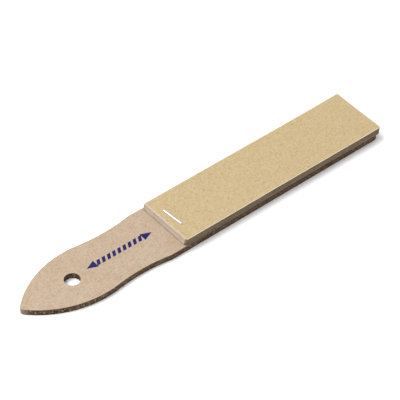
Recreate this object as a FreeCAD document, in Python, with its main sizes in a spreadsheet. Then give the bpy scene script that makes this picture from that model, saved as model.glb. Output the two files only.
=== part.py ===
import FreeCAD, Part
import math
import os
import Sketcher

Vec = FreeCAD.Vector

# ---------------------------------------------------------------- document and driving sizes

doc = FreeCAD.newDocument("SandingStick")
sheet = doc.addObject("Spreadsheet::Sheet", "sizes")

SHEET_COUNT = 12

# Lengths in millimetres, angles in degrees.
DRIVING = [
    ("overall_length", 167.8),
    ("strip_width", 27.0),
    ("core_thickness", 2.3),
    ("liner_thickness", 0.2),
    ("tip_radius", 1.5),
    ("tip_to_leaf", 29.6),
    ("tip_to_waist", 46.8),
    ("waist_width", 24.4),
    ("tip_to_pad", 67.8),
    ("shoulder_radius", 6.0),
    ("far_width", 24.9),
    ("far_corner_radius", 3.0),
    ("far_end_recess", 0.2),
    ("tip_to_hole", 23.7),
    ("hole_diameter", 6.4),
    ("sheet_width", 26.0),
    ("sheet_thickness", 0.25),
    ("sheet_corner_radius", 0.8),
    ("pad_offset", -0.23),
    ("pad_yaw", 0.3),
    ("sheet_step", 0.05),
    ("sheet_wander", 0.12),
    ("sheet_drift", 0.015),
    ("sheet_twist", 0.015),
    ("bound_length", 6.6),
    ("bend_gap", 0.04),
    ("fan_angle", 0.006),
    ("wire_diameter", 0.6),
    ("crown_width", 10.6),
    ("wire_bend_radius", 0.35),
    ("clinch_length", 3.4),
    ("leg_hole_play", 0.06),
    ("groove_play", 0.05),
    ("staple_inset", 3.6),
    ("staple_shift", 0.03),
    ("staple_skew", 4.6),
]

# Lengths worked out from the driving ones.
DERIVED = [
    ("tip_x", "=-overall_length / 2"),
    ("far_x", "=overall_length / 2"),
    ("half_width", "=strip_width / 2"),
    ("half_waist", "=waist_width / 2"),
    ("half_far", "=far_width / 2"),
    ("leaf_x", "=tip_x + tip_to_leaf"),
    ("waist_x", "=tip_x + tip_to_waist"),
    # The leaf arc wraps the tip arc; the waist arc touches the leaf arc from outside.
    ("leaf_radius", "=((tip_to_leaf - tip_radius)^2 + half_width^2 - tip_radius^2)"
                    " / (2 * (half_width - tip_radius))"),
    ("waist_radius", "=((tip_to_waist - tip_to_leaf)^2"
                     " + (half_waist + leaf_radius - half_width)^2 - leaf_radius^2)"
                     " / (2 * (half_width - half_waist))"),
    ("paddle_far_x", "=far_x - far_end_recess"),
    ("hole_x", "=tip_x + tip_to_hole"),
    ("pad_near_x", "=tip_x + tip_to_pad"),
    ("bend_x", "=pad_near_x + bound_length"),
    ("board_thickness", "=core_thickness + 2 * liner_thickness"),
    ("pad_thickness", "=%d * sheet_thickness" % SHEET_COUNT),
    ("pad_top_z", "=board_thickness + pad_thickness"),
    ("half_sheet", "=sheet_width / 2"),
    ("staple_x", "=pad_near_x + staple_inset"),
    ("staple_y", "=pad_offset + staple_shift"),
    ("leg_reach", "=crown_width / 2 - wire_diameter / 2"),
    ("crown_z", "=pad_top_z + wire_diameter / 2"),
    ("clinch_z", "=groove_play + wire_diameter / 2"),
    ("leg_hole_radius", "=wire_diameter / 2 + leg_hole_play"),
    ("groove_depth", "=wire_diameter + 2 * groove_play"),
    ("clinch_reach", "=leg_reach - clinch_length"),
]

ROW = 1
for alias, value in DRIVING + DERIVED:
    sheet.set("A%d" % ROW, alias)
    sheet.set("B%d" % ROW, str(value))
    sheet.setAlias("B%d" % ROW, alias)
    ROW += 1
doc.recompute()


def size(alias):
    """Present value of one named size."""
    return float(sheet.get(alias))


# ---------------------------------------------------------------- sketch and body helpers

X_AXIS = -1
ORIGIN_POINT = (-1, 1)
START = 1
END = 2
CENTRE = 3


def new_body(label):
    body = doc.addObject("PartDesign::Body", label)
    body.Label = label
    return body


def new_sketch(body, name, role="XY_Plane"):
    """Sketch lying on one of the body's own origin planes."""
    sketch = body.newObject("Sketcher::SketchObject", name)
    plane = None
    for feature in body.Origin.OriginFeatures:
        if feature.Role == role:
            plane = feature
    sketch.AttachmentSupport = (plane, [""])
    sketch.MapMode = "FlatFace"
    return sketch


def drive(sketch, name, constraint, expression):
    """Add a dimension to a sketch and bind it to the spreadsheet."""
    index = sketch.addConstraint(constraint)
    sketch.renameConstraint(index, name)
    sketch.setExpression("Constraints." + name, expression)


def join(sketch, first, second):
    """Make the end of one edge meet the start of the next."""
    sketch.addConstraint(Sketcher.Constraint("Coincident", first, END, second, START))


def blend(sketch, first, first_point, second, second_point):
    """Make two edges meet without a corner."""
    sketch.addConstraint(
        Sketcher.Constraint("Tangent", first, first_point, second, second_point))


def arc_edge(centre, start, end, clockwise):
    """Arc of a circle between two points; its own start is always the first in turning order."""
    radius = (start - centre).Length
    first = end if clockwise else start
    last = start if clockwise else end
    angle_a = math.atan2(first.y - centre.y, first.x - centre.x)
    angle_b = math.atan2(last.y - centre.y, last.x - centre.x)
    if angle_b < angle_a:
        angle_b += 2 * math.pi
    circle = Part.Circle(centre, Vec(0, 0, 1), radius)
    return Part.ArcOfCircle(circle, angle_a, angle_b)


def pad(body, sketch, name, length_expression):
    feature = body.newObject("PartDesign::Pad", name)
    feature.Profile = sketch
    feature.setExpression("Length", length_expression)
    sketch.Visibility = False
    return feature


def pocket_upwards(body, sketch, name, depth_expression):
    """Cut from the sketch plane upwards, and make sure that material has really gone."""
    doc.recompute()
    volume_before = body.Shape.Volume
    feature = body.newObject("PartDesign::Pocket", name)
    feature.Profile = sketch
    feature.Reversed = True
    feature.setExpression("Length", depth_expression)
    sketch.Visibility = False
    body.Tip = feature
    doc.recompute()
    assert body.Shape.Volume < volume_before - 1e-4, name + " removed nothing"
    return feature


# ---------------------------------------------------------------- paddle board

def point_towards(start, target, distance):
    return start + (target - start).normalize() * distance


def paddle_half_outline(sketch):
    """Half of the handle and pad outline, from the tip round to the far end and back along X."""
    wide = size("half_width")
    waist = size("half_waist")
    narrow = size("half_far")
    tip_r = size("tip_radius")
    shoulder_r = size("shoulder_radius")
    corner_r = size("far_corner_radius")
    far = size("paddle_far_x")
    leaf_r = size("leaf_radius")
    waist_r = size("waist_radius")

    tip_c = Vec(size("tip_x") + tip_r, 0, 0)
    leaf_c = Vec(size("leaf_x"), wide - leaf_r, 0)
    waist_c = Vec(size("waist_x"), waist + waist_r, 0)
    drop = waist_c.y - (wide - shoulder_r)
    shoulder_c = Vec(waist_c.x + math.sqrt((waist_r + shoulder_r) ** 2 - drop ** 2),
                     wide - shoulder_r, 0)
    corner_c = Vec(far - corner_r, narrow - corner_r, 0)

    tip = Vec(size("tip_x"), 0, 0)
    tip_to_leaf = point_towards(leaf_c, tip_c, leaf_r)
    leaf_to_waist = point_towards(leaf_c, waist_c, leaf_r)
    waist_to_shoulder = point_towards(waist_c, shoulder_c, waist_r)
    shoulder_end = Vec(shoulder_c.x, wide, 0)
    corner_start = Vec(corner_c.x, narrow, 0)
    corner_end = Vec(far, corner_c.y, 0)
    far_middle = Vec(far, 0, 0)

    tip_arc = sketch.addGeometry(arc_edge(tip_c, tip, tip_to_leaf, True))
    leaf_arc = sketch.addGeometry(arc_edge(leaf_c, tip_to_leaf, leaf_to_waist, True))
    waist_arc = sketch.addGeometry(arc_edge(waist_c, leaf_to_waist, waist_to_shoulder, False))
    shoulder = sketch.addGeometry(arc_edge(shoulder_c, waist_to_shoulder, shoulder_end, True))
    side = sketch.addGeometry(Part.LineSegment(shoulder_end, corner_start))
    corner = sketch.addGeometry(arc_edge(corner_c, corner_start, corner_end, True))
    far_edge = sketch.addGeometry(Part.LineSegment(corner_end, far_middle))
    middle = sketch.addGeometry(Part.LineSegment(far_middle, tip))

    # Clockwise arcs run backwards, so each meets its neighbours start to end.
    blend(sketch, tip_arc, START, leaf_arc, END)
    blend(sketch, leaf_arc, START, waist_arc, START)
    blend(sketch, waist_arc, END, shoulder, END)
    blend(sketch, shoulder, START, side, START)
    blend(sketch, side, END, corner, END)
    blend(sketch, corner, START, far_edge, START)
    join(sketch, far_edge, middle)
    sketch.addConstraint(Sketcher.Constraint("Coincident", middle, END, tip_arc, END))

    sketch.addConstraint(Sketcher.Constraint("Vertical", far_edge))
    sketch.addConstraint(Sketcher.Constraint("PointOnObject", middle, START, X_AXIS))
    sketch.addConstraint(Sketcher.Constraint("PointOnObject", middle, END, X_AXIS))
    sketch.addConstraint(Sketcher.Constraint("PointOnObject", tip_arc, CENTRE, X_AXIS))

    point, index = ORIGIN_POINT
    drive(sketch, "tip_radius", Sketcher.Constraint("Radius", tip_arc, tip_r), "sizes.tip_radius")
    drive(sketch, "shoulder_radius", Sketcher.Constraint("Radius", shoulder, shoulder_r),
          "sizes.shoulder_radius")
    drive(sketch, "corner_radius", Sketcher.Constraint("Radius", corner, corner_r),
          "sizes.far_corner_radius")
    drive(sketch, "tip_position",
          Sketcher.Constraint("DistanceX", point, index, middle, END, tip.x), "sizes.tip_x")
    drive(sketch, "far_position",
          Sketcher.Constraint("DistanceX", point, index, middle, START, far),
          "sizes.paddle_far_x")
    drive(sketch, "leaf_position",
          Sketcher.Constraint("DistanceX", point, index, leaf_arc, CENTRE, leaf_c.x),
          "sizes.leaf_x")
    drive(sketch, "waist_position",
          Sketcher.Constraint("DistanceX", point, index, waist_arc, CENTRE, waist_c.x),
          "sizes.waist_x")
    # The straight side narrows a little towards the far end.
    drive(sketch, "side_height",
          Sketcher.Constraint("DistanceY", point, index, side, START, wide),
          "sizes.half_width")
    drive(sketch, "side_far_height",
          Sketcher.Constraint("DistanceY", point, index, side, END, narrow),
          "sizes.half_far")
    drive(sketch, "leaf_radius", Sketcher.Constraint("Radius", leaf_arc, leaf_r),
          "sizes.leaf_radius")
    drive(sketch, "waist_radius", Sketcher.Constraint("Radius", waist_arc, waist_r),
          "sizes.waist_radius")


def circle_in(sketch, name, x_expression, y_expression, radius_expression, at, radius):
    """Circle whose centre and radius are bound to the spreadsheet."""
    edge = sketch.addGeometry(Part.Circle(at, Vec(0, 0, 1), radius))
    point, index = ORIGIN_POINT
    drive(sketch, name + "_radius", Sketcher.Constraint("Radius", edge, radius),
          radius_expression)
    drive(sketch, name + "_x",
          Sketcher.Constraint("DistanceX", point, index, edge, CENTRE, at.x), x_expression)
    if y_expression is None:
        sketch.addConstraint(Sketcher.Constraint("PointOnObject", edge, CENTRE, X_AXIS))
    else:
        drive(sketch, name + "_y",
              Sketcher.Constraint("DistanceY", point, index, edge, CENTRE, at.y), y_expression)
    return edge


def leg_holes(sketch):
    """The two holes punched by the staple legs, in frame coordinates."""
    skew = math.radians(size("staple_skew"))
    for name, side in (("left", 1), ("right", -1)):
        at = Vec(size("staple_x") - side * size("leg_reach") * math.sin(skew),
                 size("staple_y") + side * size("leg_reach") * math.cos(skew), 0)
        circle_in(
            sketch, name,
            "sizes.staple_x - (%d) * sizes.leg_reach * sin(sizes.staple_skew * 1 deg)" % side,
            "sizes.staple_y + (%d) * sizes.leg_reach * cos(sizes.staple_skew * 1 deg)" % side,
            "sizes.leg_hole_radius", at, size("leg_hole_radius"))


def clinch_grooves(sketch):
    """Two slots in the underside, one for each folded staple leg."""
    skew = math.radians(size("staple_skew"))
    across = Vec(-math.sin(skew), math.cos(skew), 0)
    along = Vec(math.cos(skew), math.sin(skew), 0)
    middle = Vec(size("staple_x"), size("staple_y"), 0)
    radius = size("leg_hole_radius")
    point, index = ORIGIN_POINT
    for name, side in (("left", 1), ("right", -1)):
        outer = middle + across * side * size("leg_reach")
        inner = middle + across * side * size("clinch_reach")
        a = along * radius
        # Both ends are half circles, both sides straight.
        turn = across * side
        angle = math.atan2(turn.y, turn.x)
        outer_cap = sketch.addGeometry(Part.ArcOfCircle(
            Part.Circle(outer, Vec(0, 0, 1), radius), angle - math.pi / 2, angle + math.pi / 2))
        inner_cap = sketch.addGeometry(Part.ArcOfCircle(
            Part.Circle(inner, Vec(0, 0, 1), radius),
            angle + math.pi / 2, angle + 3 * math.pi / 2))
        b = a * side
        left = sketch.addGeometry(Part.LineSegment(outer - b, inner - b))
        right = sketch.addGeometry(Part.LineSegment(inner + b, outer + b))
        blend(sketch, outer_cap, END, left, START)
        blend(sketch, left, END, inner_cap, START)
        blend(sketch, inner_cap, END, right, START)
        blend(sketch, right, END, outer_cap, START)
        drive(sketch, name + "_radius", Sketcher.Constraint("Radius", outer_cap, radius),
              "sizes.leg_hole_radius")
        for end_name, edge, reach, place in (
                ("outer", outer_cap, "leg_reach", outer),
                ("inner", inner_cap, "clinch_reach", inner)):
            drive(sketch, name + end_name + "_x",
                  Sketcher.Constraint("DistanceX", point, index, edge, CENTRE, place.x),
                  "sizes.staple_x - (%d) * sizes.%s * sin(sizes.staple_skew * 1 deg)"
                  % (side, reach))
            drive(sketch, name + end_name + "_y",
                  Sketcher.Constraint("DistanceY", point, index, edge, CENTRE, place.y),
                  "sizes.staple_y + (%d) * sizes.%s * cos(sizes.staple_skew * 1 deg)"
                  % (side, reach))


def paddle_layer(label, thickness, bottom_z, groove_depth):
    """One layer of the laminated board, with its hanging hole, leg holes and grooves."""
    body = new_body(label)
    outline = new_sketch(body, label + "_outline")
    paddle_half_outline(outline)
    half = pad(body, outline, label + "_half", thickness)
    body.Tip = half
    doc.recompute()
    mirror = body.newObject("PartDesign::Mirrored", label + "_mirrored")
    mirror.Originals = [half]
    mirror.MirrorPlane = (outline, ["H_Axis"])
    body.Tip = mirror
    doc.recompute()

    holes = new_sketch(body, label + "_holes")
    circle_in(holes, "hanging", "sizes.hole_x", None, "sizes.hole_diameter / 2",
              Vec(size("hole_x"), 0, 0), size("hole_diameter") / 2)
    leg_holes(holes)
    pocket_upwards(body, holes, label + "_punched", thickness)
    if groove_depth is not None:
        grooves = new_sketch(body, label + "_grooves")
        clinch_grooves(grooves)
        pocket_upwards(body, grooves, label + "_grooved", groove_depth)
    body.setExpression("Placement.Base.z", bottom_z)
    return body


# ---------------------------------------------------------------- abrasive sheets

def strip_outline(sketch, near, far, near_expression, far_expression, rounded_end):
    """Strip as wide as a sheet, with the two corners of one end rounded."""
    half = size("half_sheet")
    radius = size("sheet_corner_radius")
    at_far = rounded_end == "far"
    end_x = far if at_far else near
    base_x = near if at_far else far
    inward = -1 if at_far else 1
    point, index = ORIGIN_POINT

    left_c = Vec(end_x + inward * radius, half - radius, 0)
    right_c = Vec(end_x + inward * radius, radius - half, 0)
    base_left = Vec(base_x, half, 0)
    base_right = Vec(base_x, -half, 0)
    left_side = Vec(left_c.x, half, 0)
    right_side = Vec(right_c.x, -half, 0)
    left_end = Vec(end_x, left_c.y, 0)
    right_end = Vec(end_x, right_c.y, 0)

    base = sketch.addGeometry(Part.LineSegment(base_right, base_left))
    left = sketch.addGeometry(Part.LineSegment(base_left, left_side))
    left_arc = sketch.addGeometry(arc_edge(left_c, left_side, left_end, at_far))
    end = sketch.addGeometry(Part.LineSegment(left_end, right_end))
    right_arc = sketch.addGeometry(arc_edge(right_c, right_end, right_side, at_far))
    right = sketch.addGeometry(Part.LineSegment(right_side, base_right))

    arc_first, arc_last = (END, START) if at_far else (START, END)
    join(sketch, base, left)
    blend(sketch, left, END, left_arc, arc_first)
    blend(sketch, left_arc, arc_last, end, START)
    blend(sketch, end, END, right_arc, arc_first)
    blend(sketch, right_arc, arc_last, right, START)
    join(sketch, right, base)
    sketch.addConstraint(Sketcher.Constraint("Vertical", end))
    sketch.addConstraint(Sketcher.Constraint("Horizontal", left))
    sketch.addConstraint(Sketcher.Constraint("Horizontal", right))
    sketch.addConstraint(Sketcher.Constraint("Equal", left_arc, right_arc))
    sketch.addConstraint(Sketcher.Constraint("Symmetric", base, START, base, END, X_AXIS))
    drive(sketch, "corner_radius", Sketcher.Constraint("Radius", left_arc, radius),
          "sizes.sheet_corner_radius")
    drive(sketch, "half_width",
          Sketcher.Constraint("DistanceY", point, index, base, END, half), "sizes.half_sheet")
    near_edge = base if at_far else end
    far_edge = end if at_far else base
    drive(sketch, "near_end",
          Sketcher.Constraint("DistanceX", point, index, near_edge, START, near),
          near_expression)
    drive(sketch, "far_end",
          Sketcher.Constraint("DistanceX", point, index, far_edge, START, far),
          far_expression)


def slip_along(number):
    """How far one sheet lies towards the far end from the top one: factors of two sizes."""
    return 1 - number, -abs(math.sin(3.7 * number)) if number > 1 else 0.0


def slip_across(number):
    """How far one sheet lies to the left of the pad's middle line: factors of two sizes."""
    return number - 1, math.sin(1.9 * number - 3.47)


def sheet_yaw(number):
    """How far one sheet is turned on the board: value in degrees and expression."""
    value = size("pad_yaw") - (number - 1) * size("sheet_twist")
    return value, "(sizes.pad_yaw - %d * sizes.sheet_twist) * 1 deg" % (number - 1)


def turn_sheet(sketch, number, x_expression, z_expression):
    """Lay a sheet's outline askew on the board, turned about the middle of its bend line."""
    drift, wander = slip_across(number)
    yaw, yaw_expression = sheet_yaw(number)
    across = size("pad_offset") + drift * size("sheet_drift") + wander * size("sheet_wander")
    sketch.AttachmentOffset = FreeCAD.Placement(
        Vec(0, across, 0), FreeCAD.Rotation(Vec(0, 0, 1), yaw))
    sketch.setExpression("AttachmentOffset.Base.x", x_expression)
    sketch.setExpression(
        "AttachmentOffset.Base.y",
        "sizes.pad_offset + %d * sizes.sheet_drift + (%.3f) * sizes.sheet_wander"
        % (drift, wander))
    sketch.setExpression("AttachmentOffset.Base.z", z_expression)
    sketch.setExpression("AttachmentOffset.Rotation.Angle", yaw_expression)


def half_gap(number):
    """Half the gap at the bend, wide enough for the askew cut edges to clear the bend line."""
    yaw, yaw_expression = sheet_yaw(number)
    value = size("bend_gap") / 2 + size("half_sheet") * math.tan(math.radians(abs(yaw)))
    expression = "sizes.bend_gap / 2 + sizes.half_sheet * tan(abs(%s))" % yaw_expression
    return value, expression


def bound_end(number):
    """The stapled end of a sheet, lying flat; the staple's two legs go through it."""
    label = "sheet_%02d_bound_end" % number
    body = new_body(label)
    sketch = new_sketch(body, label + "_outline")
    step, wander = slip_along(number)
    gap, gap_expression = half_gap(number)
    near = -size("bound_length") + step * size("sheet_step") + wander * size("sheet_wander")
    strip_outline(
        sketch, near, -gap,
        "-sizes.bound_length + (%d) * sizes.sheet_step + (%.3f) * sizes.sheet_wander"
        % (step, wander),
        "-(%s)" % gap_expression, "near")
    turn_sheet(sketch, number, "sizes.bend_x", "0")
    pad(body, sketch, label + "_pad", "sizes.sheet_thickness")
    holes = new_sketch(body, label + "_holes")
    leg_holes(holes)
    pocket_upwards(body, holes, label + "_punched", "sizes.sheet_thickness")
    body.setExpression("Placement.Base.z",
                       "sizes.pad_top_z - %d * sizes.sheet_thickness" % number)
    return body


def free_leaf(number):
    """The free part of a sheet; it swings about the bend line across the pad's top."""
    label = "sheet_%02d" % number
    body = new_body(label)
    sketch = new_sketch(body, label + "_outline")
    step, wander = slip_along(number)
    gap, gap_expression = half_gap(number)
    far = (size("far_x") - size("bend_x")
           + step * size("sheet_step") + wander * size("sheet_wander"))
    strip_outline(
        sketch, gap, far, gap_expression,
        "sizes.far_x - sizes.bend_x + (%d) * sizes.sheet_step + (%.3f) * sizes.sheet_wander"
        % (step, wander), "far")
    turn_sheet(sketch, number, "0", "-%d * sizes.sheet_thickness" % number)
    pad(body, sketch, label + "_pad", "sizes.sheet_thickness")
    lift = SHEET_COUNT + 1 - number
    body.Placement = FreeCAD.Placement(
        Vec(size("bend_x"), 0, size("pad_top_z")),
        FreeCAD.Rotation(Vec(0, -1, 0), lift * size("fan_angle")))
    body.setExpression("Placement.Rotation.Angle", "%d * sizes.fan_angle * 1 deg" % lift)
    body.setExpression("Placement.Base.x", "sizes.bend_x")
    body.setExpression("Placement.Base.z", "sizes.pad_top_z")
    return body


# ---------------------------------------------------------------- staple

def staple():
    """Round wire: crown on the top sheet, legs through the board, ends folded inwards."""
    body = new_body("staple")
    path = new_sketch(body, "staple_path", "YZ_Plane")
    reach = size("leg_reach")
    top = size("crown_z")
    low = size("clinch_z")
    inner = size("clinch_reach")
    bend = size("wire_bend_radius")
    point, index = ORIGIN_POINT

    # Corner points of the bent wire from one folded end to the other.
    corners = [Vec(inner, low, 0), Vec(reach, low, 0), Vec(reach, top, 0),
               Vec(-reach, top, 0), Vec(-reach, low, 0), Vec(-inner, low, 0)]
    edges = []
    cursor = corners[0]
    for number in range(1, 5):
        before = (corners[number - 1] - corners[number]).normalize() * bend
        after = (corners[number + 1] - corners[number]).normalize() * bend
        arc_start = corners[number] + before
        arc_end = corners[number] + after
        centre = corners[number] + before + after
        edges.append(path.addGeometry(Part.LineSegment(cursor, arc_start)))
        edges.append(path.addGeometry(arc_edge(centre, arc_start, arc_end, False)))
        cursor = arc_end
    edges.append(path.addGeometry(Part.LineSegment(cursor, corners[5])))
    for first, second in zip(edges, edges[1:]):
        blend(path, first, END, second, START)
    for number in (0, 4, 8):
        path.addConstraint(Sketcher.Constraint("Horizontal", edges[number]))
    for number in (2, 6):
        path.addConstraint(Sketcher.Constraint("Vertical", edges[number]))
    for number in (3, 5, 7):
        path.addConstraint(Sketcher.Constraint("Equal", edges[1], edges[number]))
    drive(path, "bend_radius", Sketcher.Constraint("Radius", edges[1], bend),
          "sizes.wire_bend_radius")
    for name, axis, edge, place, value, expression in (
            ("right_leg", "DistanceX", 2, START, reach, "sizes.leg_reach"),
            ("left_leg", "DistanceX", 6, START, -reach, "-sizes.leg_reach"),
            ("right_end", "DistanceX", 0, START, inner, "sizes.clinch_reach"),
            ("left_end", "DistanceX", 8, END, -inner, "-sizes.clinch_reach"),
            ("crown", "DistanceY", 4, START, top, "sizes.crown_z"),
            ("right_fold", "DistanceY", 0, START, low, "sizes.clinch_z"),
            ("left_fold", "DistanceY", 8, START, low, "sizes.clinch_z")):
        drive(path, name, Sketcher.Constraint(axis, point, index, edges[edge], place, value),
              expression)

    profile = new_sketch(body, "staple_wire_section", "XZ_Plane")
    radius = size("wire_diameter") / 2
    edge = profile.addGeometry(Part.Circle(Vec(0, low, 0), Vec(0, 0, 1), radius))
    drive(profile, "radius", Sketcher.Constraint("Radius", edge, radius),
          "sizes.wire_diameter / 2")
    drive(profile, "height",
          Sketcher.Constraint("DistanceY", point, index, edge, CENTRE, low), "sizes.clinch_z")
    profile.addConstraint(Sketcher.Constraint("PointOnObject", edge, CENTRE, -2))
    profile.setExpression("AttachmentOffset.Base.z", "-sizes.clinch_reach")

    wire = body.newObject("PartDesign::AdditivePipe", "staple_wire")
    wire.Profile = profile
    wire.Spine = path
    path.Visibility = False
    profile.Visibility = False
    body.Tip = wire
    body.Placement = FreeCAD.Placement(
        Vec(size("staple_x"), size("staple_y"), 0),
        FreeCAD.Rotation(Vec(0, 0, 1), size("staple_skew")))
    body.setExpression("Placement.Rotation.Angle", "sizes.staple_skew * 1 deg")
    body.setExpression("Placement.Base.x", "sizes.staple_x")
    body.setExpression("Placement.Base.y", "sizes.staple_y")
    return body


# ---------------------------------------------------------------- build, check and export

NODES = []
NODES.append(paddle_layer("paddle_bottom_liner", "sizes.liner_thickness", "0",
                          "sizes.liner_thickness"))
NODES.append(paddle_layer("paddle_core", "sizes.core_thickness", "sizes.liner_thickness",
                          "sizes.groove_depth - sizes.liner_thickness"))
NODES.append(paddle_layer("paddle_top_liner", "sizes.liner_thickness",
                          "sizes.liner_thickness + sizes.core_thickness", None))
for sheet_number in range(1, SHEET_COUNT + 1):
    NODES.append(bound_end(sheet_number))
    NODES.append(free_leaf(sheet_number))
NODES.append(staple())
doc.recompute()

for item in doc.Objects:
    bad = [word for word in item.State if word in ("Invalid", "Error")]
    assert not bad, "%s is %s" % (item.Name, bad)

os.makedirs("parts", exist_ok=True)
for node in NODES:
    shape = node.Shape
    assert not shape.isNull(), node.Label + " has no shape"
    assert shape.isValid(), node.Label + " is not valid"
    assert len(shape.Solids) == 1, node.Label + " is not one solid"
    shape.exportStep("parts/%s.step" % node.Label)
    box = shape.BoundBox
    print("%-24s %8.3f mm3  x %.2f..%.2f  y %.2f..%.2f  z %.3f..%.3f" % (
        node.Label, shape.Volume, box.XMin, box.XMax, box.YMin, box.YMax, box.ZMin, box.ZMax))
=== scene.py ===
import math

import bmesh
import bpy
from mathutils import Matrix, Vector, noise


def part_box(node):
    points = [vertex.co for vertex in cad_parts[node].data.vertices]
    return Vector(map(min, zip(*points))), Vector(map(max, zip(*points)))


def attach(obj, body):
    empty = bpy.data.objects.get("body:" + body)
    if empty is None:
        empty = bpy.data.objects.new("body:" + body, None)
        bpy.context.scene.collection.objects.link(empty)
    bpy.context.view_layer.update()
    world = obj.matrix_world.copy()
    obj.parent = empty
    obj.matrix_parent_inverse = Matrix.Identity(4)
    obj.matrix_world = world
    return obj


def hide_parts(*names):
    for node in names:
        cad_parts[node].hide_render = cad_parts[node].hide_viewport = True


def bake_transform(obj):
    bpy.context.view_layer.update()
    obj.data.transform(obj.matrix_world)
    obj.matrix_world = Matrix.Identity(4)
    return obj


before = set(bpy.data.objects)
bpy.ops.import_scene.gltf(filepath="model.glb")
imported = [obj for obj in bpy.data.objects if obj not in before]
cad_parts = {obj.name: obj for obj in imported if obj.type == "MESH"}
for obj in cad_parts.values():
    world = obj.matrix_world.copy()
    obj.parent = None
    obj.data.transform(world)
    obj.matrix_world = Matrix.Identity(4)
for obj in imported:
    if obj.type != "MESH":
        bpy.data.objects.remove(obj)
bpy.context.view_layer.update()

MM = 0.001
SHEET_COUNT = 12

# ---------------------------------------------------------------- places read from the frame

liner_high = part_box("paddle_top_liner")[1]
top_end_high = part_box("sheet_01_bound_end")[1]
top_leaf_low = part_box("sheet_01")[0]
staple_low, staple_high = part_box("staple")
core_low, core_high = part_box("paddle_core")

BOARD_TOP = liner_high.z
PAD_TOP = top_end_high.z
SHEET = (PAD_TOP - BOARD_TOP) / SHEET_COUNT
BEND_X = (top_end_high.x + top_leaf_low.x) / 2

# ---------------------------------------------------------------- sizes and angles of the looks

# Rounding of a sheet's corners, and the clearance between a stapled end and its leaf.
CORNER = 0.8 * MM
BREATH = 0.03 * MM

# Slope between neighbouring sheets, the top sheet's turn, and the turn from sheet to sheet.
FAN = math.radians(0.006)
TOP_YAW = math.radians(0.3)
YAW_STEP = math.radians(0.015)

# How brightly the lights show a white surface that faces up.
LIGHT_LEVEL = 1.95


# ---------------------------------------------------------------- node helpers

class Paint:
    """A material's node tree with short calls for the nodes used here."""

    def __init__(self, name):
        self.material = bpy.data.materials.new(name)
        self.material.use_nodes = True
        self.tree = self.material.node_tree
        self.tree.nodes.clear()
        self.output = self.tree.nodes.new("ShaderNodeOutputMaterial")
        self.shader = self.tree.nodes.new("ShaderNodeBsdfPrincipled")
        self.link(self.shader.outputs[0], self.output.inputs["Surface"])

    def link(self, source, target):
        self.tree.links.new(source, target)

    def object_place(self):
        return self.tree.nodes.new("ShaderNodeTexCoord").outputs["Object"]

    def rest_place(self):
        """Place at rest, kept on the mesh, so that a pattern stays on a piece that bends."""
        node = self.tree.nodes.new("ShaderNodeAttribute")
        node.attribute_name = "rest_place"
        return node.outputs["Vector"]

    def stored(self, name):
        """A number kept on the mesh, one for each vertex."""
        node = self.tree.nodes.new("ShaderNodeAttribute")
        node.attribute_name = name
        return node.outputs["Fac"]

    def scaled(self, place, factors, shift=(0, 0, 0)):
        node = self.tree.nodes.new("ShaderNodeMapping")
        node.inputs["Scale"].default_value = factors
        node.inputs["Location"].default_value = shift
        self.link(place, node.inputs["Vector"])
        return node.outputs[0]

    def noise(self, place, scale, detail=3, roughness=0.55, distortion=0.0):
        node = self.tree.nodes.new("ShaderNodeTexNoise")
        node.inputs["Scale"].default_value = scale
        node.inputs["Detail"].default_value = detail
        node.inputs["Roughness"].default_value = roughness
        node.inputs["Distortion"].default_value = distortion
        self.link(place, node.inputs["Vector"])
        return node.outputs["Fac"]

    def cells(self, place, scale):
        node = self.tree.nodes.new("ShaderNodeTexVoronoi")
        node.inputs["Scale"].default_value = scale
        self.link(place, node.inputs["Vector"])
        return node.outputs["Distance"]

    def ramp(self, value, stops):
        """Colour by value; stops are (position, colour)."""
        node = self.tree.nodes.new("ShaderNodeValToRGB")
        element = node.color_ramp.elements
        while len(element) < len(stops):
            element.new(0.5)
        for item, (position, colour) in zip(element, stops):
            item.position = position
            item.color = (*colour, 1.0)
        self.link(value, node.inputs[0])
        return node.outputs[0]

    def range(self, value, low, high, to_low, to_high):
        node = self.tree.nodes.new("ShaderNodeMapRange")
        node.inputs["From Min"].default_value = low
        node.inputs["From Max"].default_value = high
        node.inputs["To Min"].default_value = to_low
        node.inputs["To Max"].default_value = to_high
        self.link(value, node.inputs["Value"])
        return node.outputs[0]

    def mix(self, factor, first, second):
        """Blend of two colours; each is a socket or a plain colour."""
        node = self.tree.nodes.new("ShaderNodeMix")
        node.data_type = "RGBA"
        for value, socket in ((factor, node.inputs[0]), (first, node.inputs[6]),
                              (second, node.inputs[7])):
            if isinstance(value, bpy.types.NodeSocket):
                self.link(value, socket)
            elif isinstance(value, tuple):
                socket.default_value = (*value, 1.0)
            else:
                socket.default_value = value
        return node.outputs[2]

    def math(self, kind, first, second):
        node = self.tree.nodes.new("ShaderNodeMath")
        node.operation = kind
        for value, socket in ((first, node.inputs[0]), (second, node.inputs[1])):
            if isinstance(value, bpy.types.NodeSocket):
                self.link(value, socket)
            else:
                socket.default_value = value
        return node.outputs[0]

    def axis(self, place, which):
        node = self.tree.nodes.new("ShaderNodeSeparateXYZ")
        self.link(place, node.inputs[0])
        return node.outputs[which]

    def bump(self, height, strength, distance, below=None):
        node = self.tree.nodes.new("ShaderNodeBump")
        node.inputs["Strength"].default_value = strength
        node.inputs["Distance"].default_value = distance
        self.link(height, node.inputs["Height"])
        if below is not None:
            self.link(below, node.inputs["Normal"])
        return node.outputs[0]

    def finish(self, colour, roughness, normal=None):
        self.link(colour, self.shader.inputs["Base Color"])
        self.link(roughness, self.shader.inputs["Roughness"])
        if normal is not None:
            self.link(normal, self.shader.inputs["Normal"])
        return self.material


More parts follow.
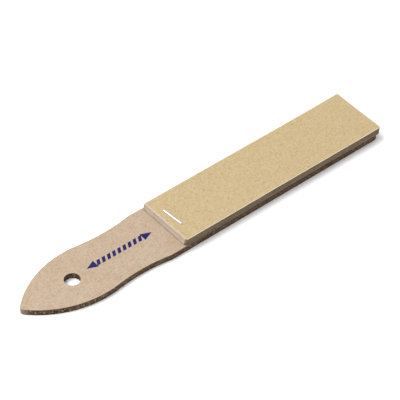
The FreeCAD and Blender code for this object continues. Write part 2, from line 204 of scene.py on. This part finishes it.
def seen(red, green, blue):
    """Surface colour that looks like these 0 to 255 display values under the full light."""
    def one(value):
        value = value / 255
        light = value / 12.92 if value <= 0.04045 else ((value + 0.055) / 1.055) ** 2.4
        return light / LIGHT_LEVEL
    return (one(red), one(green), one(blue))


# ---------------------------------------------------------------- materials

def kraft_material():
    """Tan liner paper: cloudy pulp, long pale and dark fibres, a slight nap."""
    paint = Paint("kraft_liner")
    place = paint.object_place()
    clouds = paint.noise(place, 150, 4, 0.6)
    pulp = paint.noise(place, 1250, 4, 0.7)
    fibres = paint.noise(paint.scaled(place, (420, 2200, 1500)), 1.0, 2, 0.6, 0.4)
    colour = paint.ramp(clouds, [(0.3, seen(198, 173, 146)), (0.5, seen(207, 183, 157)),
                                 (0.7, seen(214, 193, 170))])
    speckle = paint.ramp(pulp, [(0.32, seen(176, 148, 120)), (0.48, seen(205, 181, 154)),
                                (0.72, seen(226, 207, 184))])
    colour = paint.mix(0.55, colour, speckle)
    dark = paint.range(fibres, 0.3, 0.38, 0.3, 0.0)
    colour = paint.mix(dark, colour, seen(172, 143, 112))
    # The paper's cut edge, anywhere between its two outer faces, is coloured dark like the board's
    # edge.
    from_middle = paint.math("SUBTRACT", paint.axis(place, 2), BOARD_TOP / 2)
    from_middle = paint.math("ABSOLUTE", from_middle, 0.0)
    edge = paint.range(from_middle, BOARD_TOP / 2 - 0.03 * MM, BOARD_TOP / 2 - 0.01 * MM, 0.75, 0.0)
    colour = paint.mix(edge, colour, seen(98, 72, 52))
    roughness = paint.range(pulp, 0.3, 0.7, 0.72, 0.88)
    height = paint.math("ADD", paint.math("MULTIPLY", pulp, 0.6),
                        paint.math("MULTIPLY", fibres, 0.4))
    normal = paint.bump(height, 0.3, 0.04 * MM)
    paint.shader.inputs["Specular IOR Level"].default_value = 0.2
    return paint.finish(colour, roughness, normal)


def board_material():
    """Cut edge of grey-brown board: thin pressed plies, torn fibres, darker outer skins, and
    painted light on the tip's end wall.
    """
    paint = Paint("board_core")
    place = paint.object_place()
    plies = paint.noise(paint.scaled(place, (110, 110, 3200)), 1.0, 3, 0.6, 0.2)
    patches = paint.noise(place, 330, 3, 0.6)
    fibres = paint.noise(paint.scaled(place, (700, 700, 5200)), 1.0, 4, 0.7, 0.3)
    grain = paint.noise(place, 2600, 3, 0.6)
    colour = paint.ramp(plies, [(0.34, seen(80, 57, 38)), (0.5, seen(116, 92, 72)),
                                (0.66, seen(158, 134, 112))])
    flecks = paint.ramp(fibres, [(0.36, seen(64, 44, 29)), (0.52, seen(112, 88, 68)),
                                 (0.68, seen(178, 154, 132))])
    colour = paint.mix(0.5, colour, flecks)
    worn = paint.range(patches, 0.42, 0.66, 0.0, 0.4)
    colour = paint.mix(worn, colour, seen(128, 100, 78))
    crumbs = paint.noise(place, 1150, 2, 0.55)
    torn = paint.ramp(crumbs, [(0.34, seen(46, 31, 20)), (0.5, seen(98, 75, 56)),
                               (0.66, seen(196, 172, 148))])
    along = paint.axis(place, 0)
    rough = paint.range(along, core_low.x, core_low.x + 45 * MM, 0.85, 0.4)
    colour = paint.mix(rough, colour, torn)
    level = paint.axis(place, 2)
    middle = (core_low.z + core_high.z) / 2
    reach = (core_high.z - core_low.z) / 2
    from_middle = paint.math("ABSOLUTE", paint.math("SUBTRACT", level, middle), 0.0)
    skin = paint.range(from_middle, reach * 0.45, reach, 0.0, 0.6)
    colour = paint.mix(skin, colour, seen(70, 47, 31))
    # Painted light: the end wall of the tip, which faces the light, is painted pale grey.
    tip_painted_light = paint.range(along, core_low.x + 0.4 * MM, core_low.x + 2.2 * MM, 0.7, 0.0)
    colour = paint.mix(tip_painted_light, colour, seen(186, 168, 150))
    roughness = paint.range(grain, 0.3, 0.7, 0.82, 0.96)
    height = paint.math("ADD", paint.math("MULTIPLY", plies, 0.6),
                        paint.math("MULTIPLY", fibres, 0.6))
    normal = paint.bump(height, 0.6, 0.1 * MM)
    paint.shader.inputs["Specular IOR Level"].default_value = 0.15
    return paint.finish(colour, roughness, normal)


def grit_material():
    """Abrasive face: straw-coloured coat over packed mineral grains, and a pale edge that is partly
    painted highlight, partly wear.
    """
    paint = Paint("abrasive_face")
    place = paint.rest_place()
    clouds = paint.noise(place, 190, 3, 0.55)
    blotch = paint.noise(paint.scaled(place, (1, 1, 1), (0.31, 0.17, 0.0)), 700, 3, 0.65)
    specks = paint.noise(paint.scaled(place, (1, 1, 1), (0.11, 0.53, 0.0)), 1500, 2, 0.6)
    grains = paint.cells(place, 5200)
    dust = paint.noise(place, 3800, 2, 0.6)
    colour = paint.ramp(clouds, [(0.32, seen(212, 182, 134)), (0.5, seen(218, 192, 144)),
                                 (0.68, seen(220, 200, 152))])
    mottle = paint.ramp(blotch, [(0.34, seen(196, 166, 118)), (0.5, seen(221, 196, 151)),
                                 (0.66, seen(238, 219, 180))])
    colour = paint.mix(0.5, colour, mottle)
    dots = paint.ramp(specks, [(0.3, seen(168, 133, 82)), (0.46, seen(216, 190, 143)),
                               (0.72, seen(240, 221, 182))])
    colour = paint.mix(0.5, colour, dots)
    sparkle = paint.ramp(grains, [(0.0, seen(238, 219, 182)), (0.35, seen(219, 195, 150)),
                                  (0.75, seen(184, 156, 110))])
    colour = paint.mix(0.35, colour, sparkle)
    # Painted highlight, partly wear: each sheet's edge is painted paler, more in some places than
    # others.
    worn = paint.range(blotch, 0.3, 0.6, 0.55, 0.95)
    painted_edge_highlight = paint.math("MULTIPLY", paint.stored("painted_edge_highlight"), worn)
    colour = paint.mix(painted_edge_highlight, colour, seen(240, 226, 204))
    roughness = paint.range(dust, 0.3, 0.7, 0.62, 0.86)
    low = paint.bump(grains, 0.4, -0.03 * MM)
    normal = paint.bump(dust, 0.35, 0.03 * MM, low)
    paint.shader.inputs["Specular IOR Level"].default_value = 0.25
    return paint.finish(colour, roughness, normal)


def sheet_edge_material(name, dark, middle, pale, foot_shade):
    """Cut edge of the sheets: streaked torn fibres, with painted shade that darkens them upwards,
    under the top sheets' overhang, and along the bottom where they meet the board.
    """
    paint = Paint(name)
    place = paint.rest_place()
    streaks = paint.noise(paint.scaled(place, (120, 120, 3600)), 1.0, 3, 0.65, 0.1)
    patches = paint.noise(place, 300, 3, 0.6)
    fibres = paint.noise(paint.scaled(place, (1500, 1500, 6000)), 1.0, 3, 0.6)
    colour = paint.ramp(streaks, [(0.33, dark), (0.5, middle), (0.67, pale)])
    flecks = paint.ramp(fibres, [(0.35, dark), (0.55, middle), (0.7, pale)])
    colour = paint.mix(0.45, colour, flecks)
    smudge = paint.range(patches, 0.4, 0.68, 0.0, 0.5)
    colour = paint.mix(smudge, colour, dark)
    level = paint.axis(place, 2)
    # Painted shade: the edge darkens towards the top, for the shade under the top sheets' overhang.
    upper = paint.range(level, BOARD_TOP, PAD_TOP, 0.0, 0.4)
    colour = paint.mix(upper, colour, dark)
    # Painted shade: a dark band along the bottom, where the sheets meet the board.
    low = paint.range(level, BOARD_TOP, BOARD_TOP + 0.55 * MM, 1.0, 0.0)
    colour = paint.mix(low, colour, foot_shade)
    roughness = paint.range(fibres, 0.3, 0.7, 0.78, 0.94)
    normal = paint.bump(fibres, 0.5, 0.05 * MM)
    paint.shader.inputs["Specular IOR Level"].default_value = 0.15
    return paint.finish(colour, roughness, normal)


def sheet_back_material():
    """Plain underside of an abrasive sheet: pale brown backing paper."""
    paint = Paint("sheet_backing")
    place = paint.rest_place()
    clouds = paint.noise(place, 260, 4, 0.6)
    pulp = paint.noise(place, 1700, 3, 0.65)
    colour = paint.ramp(clouds, [(0.3, seen(190, 170, 142)), (0.5, seen(201, 182, 155)),
                                 (0.7, seen(210, 192, 166))])
    specks = paint.ramp(pulp, [(0.3, seen(168, 146, 118)), (0.5, seen(200, 181, 154)),
                               (0.72, seen(219, 203, 180))])
    colour = paint.mix(0.4, colour, specks)
    roughness = paint.range(pulp, 0.3, 0.7, 0.7, 0.85)
    normal = paint.bump(pulp, 0.3, 0.03 * MM)
    paint.shader.inputs["Specular IOR Level"].default_value = 0.3
    return paint.finish(colour, roughness, normal)


def wire_material():
    """Bright drawn wire with fine lengthwise scratches and a few dull patches."""
    paint = Paint("staple_wire")
    place = paint.object_place()
    lines = paint.noise(paint.scaled(place, (9000, 500, 9000)), 1.0, 3, 0.6)
    patches = paint.noise(place, 700, 3, 0.6)
    colour = paint.ramp(patches, [(0.3, (0.6, 0.59, 0.57)), (0.5, (0.74, 0.73, 0.71)),
                                  (0.7, (0.82, 0.81, 0.79))])
    worn = paint.range(patches, 0.3, 0.7, 0.34, 0.5)
    roughness = paint.math("ADD", worn, paint.math("MULTIPLY", lines, 0.1))
    normal = paint.bump(lines, 0.2, 0.01 * MM)
    paint.shader.inputs["Metallic"].default_value = 1.0
    return paint.finish(colour, roughness, normal)


def ink_material():
    """Dark blue printing ink, thin and slightly broken where the paper is rough."""
    paint = Paint("printed_ink")
    place = paint.object_place()
    body = paint.noise(place, 1500, 3, 0.65)
    wear = paint.noise(place, 4200, 3, 0.6)
    colour = paint.ramp(body, [(0.3, seen(20, 20, 88)), (0.5, seen(28, 28, 104)),
                               (0.7, seen(40, 40, 122))])
    thin = paint.range(wear, 0.6, 0.72, 0.0, 0.55)
    colour = paint.mix(thin, colour, seen(148, 134, 150))
    roughness = paint.range(body, 0.3, 0.7, 0.5, 0.68)
    normal = paint.bump(wear, 0.3, 0.02 * MM)
    paint.shader.inputs["Specular IOR Level"].default_value = 0.12
    return paint.finish(colour, roughness, normal)


def floor_material():
    """White studio paper."""
    paint = Paint("studio_paper")
    place = paint.object_place()
    tone = paint.noise(place, 60, 2, 0.5)
    colour = paint.ramp(tone, [(0.3, (0.9, 0.9, 0.9)), (0.7, (0.92, 0.92, 0.92))])
    roughness = paint.range(tone, 0.3, 0.7, 0.85, 0.95)
    paint.shader.inputs["Specular IOR Level"].default_value = 0.1
    return paint.finish(colour, roughness)


# ---------------------------------------------------------------- mesh helpers

def new_object(name, mesh, materials):
    """Put a mesh in the scene with its materials in slot order."""
    made = bpy.data.objects.new(name, mesh)
    bpy.context.scene.collection.objects.link(made)
    for material in materials:
        mesh.materials.append(material)
    return made


def keep_numbers(mesh, places, rims):
    """Store each vertex's place at rest and its nearness to the sheet's edge."""
    attribute = mesh.attributes.new("rest_place", "FLOAT_VECTOR", "POINT")
    attribute.data.foreach_set("vector", [value for place in places for value in place])
    # The nearness to the edge sets where the painted edge highlight goes.
    attribute = mesh.attributes.new("painted_edge_highlight", "FLOAT", "POINT")
    attribute.data.foreach_set("value", rims)


def stations(low, high, step, round_low, round_high):
    """Places along a strip: even steps, with close ones where an end is rounded."""
    places = []
    close = [CORNER * (1 - math.cos(math.pi / 2 * n / 8)) for n in range(8)]
    first = low
    last = high
    if round_low:
        places += [low + inset for inset in close]
        first = low + CORNER
    if round_high:
        last = high - CORNER
    count = max(1, round((last - first) / step))
    places += [first + (last - first) * n / count for n in range(count + 1)]
    if round_high:
        places += [high - inset for inset in reversed(close)]
    return places


def corner_inset(x, low, high, round_low, round_high):
    """How far the strip's side stands in from its full width at x."""
    past = 0.0
    if round_low:
        past = max(past, low + CORNER - x)
    if round_high:
        past = max(past, x - (high - CORNER))
    past = min(past, CORNER)
    return CORNER - math.sqrt(CORNER * CORNER - past * past)


def edge_nearness(x, share, low, high, half, round_low, round_high):
    """One at the sheet's edge, falling to nothing a little over half a millimetre inside."""
    gaps = [(1 - abs(share)) * half]
    if round_low:
        gaps.append(x - low)
    if round_high:
        gaps.append(high - x)
    return max(0.0, min(1.0, 1.4 - min(gaps) / (0.4 * MM)))


# Places across a sheet as shares of its half width, closer together near the sides.
SHARES = [-1.0, -0.988, -0.957, -0.9, -0.72, -0.48, -0.24, 0.0,
          0.24, 0.48, 0.72, 0.9, 0.957, 0.988, 1.0]


def strip_object(name, number, ends, round_low, round_high, sheet, materials):
    """A sheet piece as a closed grid: face, backing, and a cut edge all round.

    ends are measured along the sheet from its bend line; sheet holds its yaw, its place
    across the board, its half width, its height and its slope.
    """
    low, high = ends
    xs = stations(low, high, 1.5 * MM, round_low, round_high)
    maker = bmesh.new()
    rims = []
    levels = []
    for layer in (0, 1):
        grid = []
        for x in xs:
            inset = corner_inset(x, low, high, round_low, round_high)
            row = []
            for share in SHARES:
                y = share * (sheet["half"] - inset)
                ragged = noise.noise(Vector((x * 260, share * 3.0, number * 7.3)))
                y += 0.05 * MM * ragged * abs(share) ** 8 * (1 if share > 0 else -1)
                place = Vector((BEND_X + x * math.cos(sheet["yaw"]) - y * math.sin(sheet["yaw"]),
                                sheet["across"] + x * math.sin(sheet["yaw"])
                                + y * math.cos(sheet["yaw"]), 0))
                rise = sheet["lift"] * x + settle(place.x, place.y, sheet["top"])
                if x <= 0:
                    rise = spring(x, share)
                place.z = sheet["top"] + rise - layer * SHEET * 0.97
                row.append(maker.verts.new(place))
                rims.append(edge_nearness(x, share, low, high, sheet["half"],
                                          round_low, round_high))
            grid.append(row)
        levels.append(grid)
    upper, lower = levels

    def face(corners, slot):
        made = maker.faces.new(corners)
        made.material_index = slot

    last = len(SHARES) - 1
    for i in range(len(xs) - 1):
        for j in range(last):
            face([upper[i][j], upper[i + 1][j], upper[i + 1][j + 1], upper[i][j + 1]], 0)
            face([lower[i][j + 1], lower[i + 1][j + 1], lower[i + 1][j], lower[i][j]], 2)
        face([lower[i][0], lower[i + 1][0], upper[i + 1][0], upper[i][0]], 1)
        face([upper[i][-1], upper[i + 1][-1], lower[i + 1][-1], lower[i][-1]], 1)
    for j in range(last):
        face([upper[0][j], upper[0][j + 1], lower[0][j + 1], lower[0][j]], 3)
        face([lower[-1][j], lower[-1][j + 1], upper[-1][j + 1], upper[-1][j]], 3)
    maker.verts.index_update()
    places = [tuple(vertex.co) for vertex in maker.verts]
    mesh = bpy.data.meshes.new(name)
    maker.to_mesh(mesh)
    maker.free()
    keep_numbers(mesh, places, rims)
    return new_object(name, mesh, materials)


def spring(x, share):
    """The stapled ends rise a little beyond the staple, most at their corners."""
    beyond = max(0.0, (-3.9 * MM - x) / (2.6 * MM))
    return (0.03 + 0.03 * share * share) * MM * beyond ** 2


def settle(x, y, level):
    """Slight unevenness shared by all sheets, growing with the height above the board."""
    wave_height = 0.07
    curl_height = 0.34
    wave = noise.noise(Vector((x * 38, y * 30, 4.0)))
    share = (level - BOARD_TOP) / (PAD_TOP - BOARD_TOP)
    away = min(1.0, max(0.0, (x - BEND_X) / (12 * MM)))
    # The far left corner of the upper sheets has curled up a little.
    along = max(0.0, (x - 50 * MM) / (34 * MM))
    aside = min(1.0, max(0.0, (y + 4 * MM) / (17 * MM)))
    return (wave_height * wave * share * away
            + curl_height * along ** 2 * aside ** 1.5 * share) * MM


def sheet_facts(number):
    """Where one sheet lies, read from its two nodes in the frame."""
    end_low, end_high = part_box("sheet_%02d_bound_end" % number)
    leaf_low, leaf_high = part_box("sheet_%02d" % number)
    yaw = TOP_YAW - (number - 1) * YAW_STEP
    half = (end_high.y - leaf_low.y) / 2 / math.cos(yaw)
    slant = (half - CORNER) * math.sin(yaw)
    return {
        "yaw": yaw,
        "half": half,
        "across": (end_high.y + leaf_low.y) / 2,
        "top": PAD_TOP - (number - 1) * SHEET,
        "lift": math.tan(FAN * (SHEET_COUNT + 1 - number)),
        "near": -CORNER - (BEND_X - end_low.x - CORNER - slant) / math.cos(yaw),
        "far": CORNER + (leaf_high.x - BEND_X - CORNER - slant) / math.cos(yaw),
    }


def build_pad(materials):
    """The sheets: a stapled end and a free leaf for each, meeting at the bend line."""
    for number in range(1, SHEET_COUNT + 1):
        sheet = sheet_facts(number)
        stapled = strip_object("stapled_end_%02d" % number, number, (sheet["near"], -BREATH),
                               True, False, sheet, materials)
        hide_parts("sheet_%02d_bound_end" % number)
        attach(stapled, "paddle")
        leaf = strip_object("free_leaf_%02d" % number, number, (0.0, sheet["far"]),
                            False, True, sheet, materials)
        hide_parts("sheet_%02d" % number)
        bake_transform(leaf)


def build_mark(material):
    """A plain double-ended arrow that shows the sanding direction, in printed ink."""
    curve = bpy.data.curves.new("direction_mark", "CURVE")
    curve.dimensions = "2D"
    curve.fill_mode = "BOTH"
    curve.extrude = 0.006 * MM
    length = 31 * MM
    height = 3.8 * MM
    head = 4.4 * MM
    stem = 1.3 * MM
    half = length / 2
    outlines = []
    for side in (-1, 1):
        outlines.append([(side * half, 0), (side * (half - head), height / 2),
                         (side * (half - head), -height / 2)])
    bars = 9
    pitch = (length - 2 * head) / bars
    for bar in range(bars):
        left = -half + head + pitch * (bar + 0.2)
        right = left + pitch * 0.6
        outlines.append([(left - stem / 2, -stem), (right - stem / 2, -stem),
                         (right + stem / 2, stem), (left + stem / 2, stem)])
    for outline in outlines:
        spline = curve.splines.new("POLY")
        spline.points.add(len(outline) - 1)
        for point, (x, y) in zip(spline.points, outline):
            point.co = (x, y, 0, 1)
        spline.use_cyclic_u = True
    made = bpy.data.objects.new("direction_mark", curve)
    bpy.context.scene.collection.objects.link(made)
    made.location = (-37.3 * MM, 0.9 * MM, BOARD_TOP + 0.004 * MM)
    bpy.context.view_layer.update()
    graph = bpy.context.evaluated_depsgraph_get()
    mesh = bpy.data.meshes.new_from_object(made.evaluated_get(graph))
    solid = bpy.data.objects.new("sanding_arrow", mesh)
    solid.location = made.location
    bpy.context.scene.collection.objects.link(solid)
    bpy.data.objects.remove(made)
    mesh.materials.clear()
    mesh.materials.append(material)
    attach(solid, "paddle")


def dress_paddle(kraft, board):
    """Board and liners stay as the frame has them; only their materials are set."""
    for node, material in (("paddle_core", board), ("paddle_top_liner", kraft),
                           ("paddle_bottom_liner", kraft)):
        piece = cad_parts[node]
        piece.data.materials.clear()
        piece.data.materials.append(material)


def build_staple(material):
    """Slightly flattened round wire, bent twice at each side, ends folded under the board."""
    middle = (staple_low + staple_high) / 2
    skew = math.radians(4.6)
    wide = 0.38 * MM
    tall = 0.28 * MM
    reach = 5.0 * MM
    fold = 3.1 * MM
    top = staple_high.z - tall - 0.02 * MM
    low = 0.35 * MM
    bend = 0.42 * MM
    bend_steps = 8
    ring_steps = 20
    corners = [(reach - fold, low), (reach, low), (reach, top), (-reach, top),
               (-reach, low), (fold - reach, low)]
    path = [Vector((corners[0][0], corners[0][1]))]
    for before, here, after in zip(corners, corners[1:], corners[2:]):
        first = Vector(here) + (Vector(before) - Vector(here)).normalized() * bend
        last = Vector(here) + (Vector(after) - Vector(here)).normalized() * bend
        for step in range(bend_steps + 1):
            share = step / bend_steps
            path.append((1 - share) ** 2 * first + 2 * share * (1 - share) * Vector(here)
                        + share ** 2 * last)
    path.append(Vector((corners[-1][0], corners[-1][1])))
    maker = bmesh.new()
    rings = []
    for index, point in enumerate(path):
        ahead = path[min(index + 1, len(path) - 1)] - path[max(index - 1, 0)]
        ahead.normalize()
        aside = Vector((-ahead.y, ahead.x))
        ring = []
        for step in range(ring_steps):
            turn = 2 * math.pi * step / ring_steps
            out = wide * math.cos(turn)
            up = tall * math.sin(turn)
            across = point.x + aside.x * up
            height = point.y + aside.y * up
            ring.append(maker.verts.new((
                middle.x + out * math.cos(skew) - across * math.sin(skew),
                middle.y + out * math.sin(skew) + across * math.cos(skew), height)))
        rings.append(ring)
    for one, two in zip(rings, rings[1:]):
        for step in range(ring_steps):
            following = (step + 1) % ring_steps
            maker.faces.new([one[step], one[following], two[following], two[step]])
    maker.faces.new(rings[0])
    maker.faces.new(list(reversed(rings[-1])))
    bmesh.ops.recalc_face_normals(maker, faces=maker.faces)
    for made in maker.faces:
        made.smooth = True
    mesh = bpy.data.meshes.new("bent_wire")
    maker.to_mesh(mesh)
    maker.free()
    wire = new_object("bent_wire", mesh, [material])
    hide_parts("staple")
    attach(wire, "paddle")


# ---------------------------------------------------------------- floor, light and camera

def build_floor(material):
    """A wide sheet of paper just under the board."""
    bpy.ops.mesh.primitive_plane_add(size=6.0, location=(0, 0, -0.02 * MM))
    floor = bpy.context.object
    floor.name = "studio_floor"
    floor.data.materials.append(material)


def soft_light(name, place, target, width, depth, power):
    """A white rectangular lamp that faces the target."""
    data = bpy.data.lights.new(name, "AREA")
    data.shape = "RECTANGLE"
    data.size = width
    data.size_y = depth
    data.energy = power
    lamp = bpy.data.objects.new(name, data)
    lamp.location = place
    aim = Vector(target) - Vector(place)
    lamp.rotation_euler = aim.to_track_quat("-Z", "Y").to_euler()
    bpy.context.scene.collection.objects.link(lamp)


def build_lights():
    """An even white surround and one large soft window from the left and behind."""
    world = bpy.data.worlds.new("studio")
    bpy.context.scene.world = world
    world.use_nodes = True
    background = world.node_tree.nodes["Background"]
    background.inputs[0].default_value = (1.0, 1.0, 1.0, 1.0)
    background.inputs[1].default_value = 0.78
    soft_light("key_window", (-0.6, 0.65, 1.2), (0, 0, 0), 1.4, 1.4, 39.5)


def build_camera():
    """Long lens, looking down at about 44 degrees across the handle's corner."""
    heading = math.radians(-39.22)
    height = math.radians(44.01)
    target = Vector((5.38 * MM, 4.99 * MM, 0.0))
    distance = 0.845
    away = Vector((math.sin(heading) * math.cos(height),
                   -math.cos(heading) * math.cos(height), math.sin(height)))
    data = bpy.data.cameras.new("camera")
    data.sensor_width = 36
    data.lens = 195.7
    data.clip_start = 0.01
    data.clip_end = 20
    camera = bpy.data.objects.new("camera", data)
    camera.location = target + away * distance
    camera.rotation_euler = (-away).to_track_quat("-Z", "Y").to_euler()
    bpy.context.scene.collection.objects.link(camera)
    bpy.context.scene.camera = camera


# ---------------------------------------------------------------- build

bpy.context.scene.view_settings.view_transform = "Standard"
build_camera()
build_lights()
build_floor(floor_material())
dress_paddle(kraft_material(), board_material())
build_staple(wire_material())
build_pad([
    grit_material(),
    # The long sides and the ends are one cut edge of the sheets, painted as two copies: the ends
    # much paler, as painted light, and the sides darker, as painted shade. Each last colour is
    # painted shade along the bottom.
    sheet_edge_material("sheet_side", seen(122, 99, 75), seen(161, 137, 112),
                        seen(196, 173, 149), seen(118, 90, 68)),
    sheet_back_material(),
    sheet_edge_material("sheet_end", seen(196, 171, 150), seen(238, 219, 202),
                        seen(254, 244, 234), seen(108, 78, 62)),
])
build_mark(ink_material())
